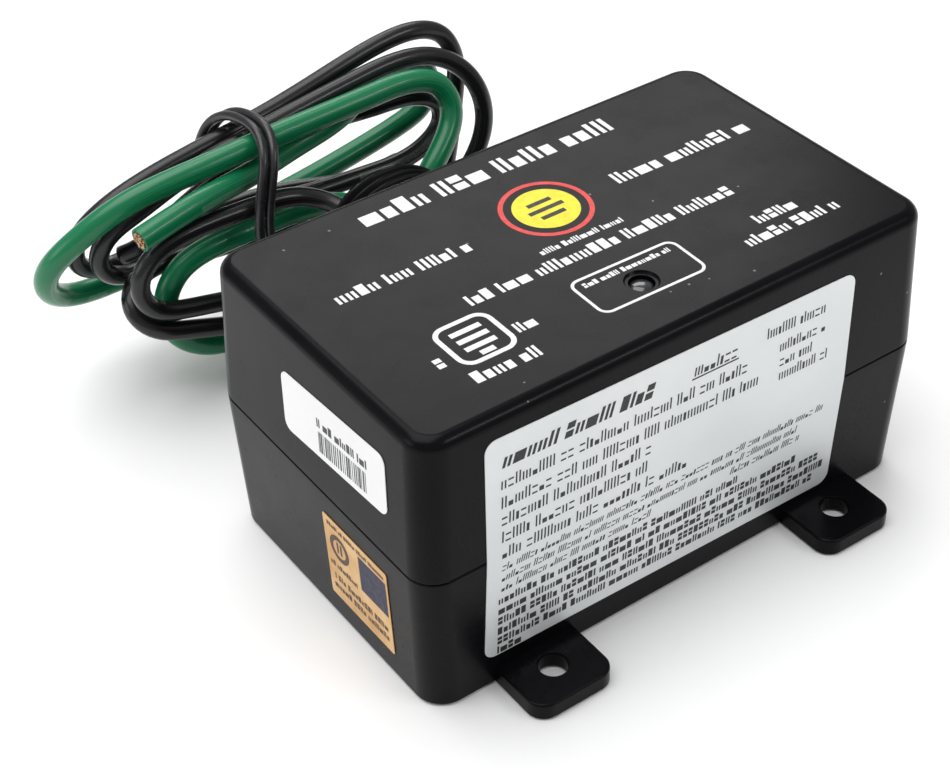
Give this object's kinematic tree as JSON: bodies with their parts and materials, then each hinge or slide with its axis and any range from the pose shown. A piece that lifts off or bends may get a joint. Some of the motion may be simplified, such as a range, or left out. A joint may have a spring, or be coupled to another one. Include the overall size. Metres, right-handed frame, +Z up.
{
  "type": "whole house surge protector",
  "caption": "Black plastic surge protector box with front mounting tabs, a status lamp, a threaded conduit nipple at the back and a tied hank of bare-ended wires.",
  "frame": {"origin": "centre of the case's flat underside, on the surface it stands on", "axes": "+X along the case's length, +Y towards the threaded nipple, away from the front label and the tabs, +Z up to the lamp face"},
  "size_m": [0.1063, 0.1197, 0.0508],
  "materials": {
    "case_plastic": "fine satin",
    "nipple_plastic": "satin",
    "sealing_compound": "cast",
    "front_label_film": "satin film, light at the left and dark at the right",
    "white_label": "satin film",
    "gold_foil": "shiny foil",
    "lamp_resin": "glossy",
    "tinned_metal": "tinned",
    "board_laminate": "solder mask",
    "screw_steel": "zinc plated",
    "varistor_coating": "dipped epoxy",
    "resistor_body": "lacquered",
    "terminal_brass": "plain",
    "green_jacket": "glossy nylon jacket",
    "black_jacket": "glossy nylon jacket",
    "bare_copper": "cut strands",
    "tie_plastic": "satin"
  },
  "bodies": {
    "surge_protector": {"case_cover": "case_plastic", "case_base": "case_plastic", "conduit_nipple": "nipple_plastic", "nipple_seal": "sealing_compound", "front_label": "front_label_film", "barcode_label": "white_label", "foil_label": "gold_foil", "status_lamp": "lamp_resin", "status_lamp_leg_1": "tinned_metal", "status_lamp_leg_2": "tinned_metal", "circuit_board": "board_laminate", "board_screw_1": "screw_steel", "board_screw_2": "screw_steel", "board_screw_3": "screw_steel", "board_screw_4": "screw_steel", "varistor_1": "varistor_coating", "varistor_2": "varistor_coating", "varistor_3": "varistor_coating", "varistor_4": "varistor_coating", "varistor_5": "varistor_coating", "varistor_6": "varistor_coating", "thermal_fuse_1": "tinned_metal", "thermal_fuse_2": "tinned_metal", "thermal_fuse_3": "tinned_metal", "lamp_resistor": "resistor_body", "terminal_ground": "terminal_brass", "terminal_line_1": "terminal_brass", "terminal_line_2": "terminal_brass", "inner_lead_ground": "green_jacket", "inner_lead_line_1": "black_jacket", "inner_lead_line_2": "black_jacket", "wire_ground": "green_jacket", "wire_line_1": "black_jacket", "wire_line_2": "black_jacket", "copper_end_ground": "bare_copper", "copper_end_line_1": "bare_copper", "copper_end_line_2": "bare_copper", "wire_tie": "tie_plastic"}
  },
  "joints": []
}
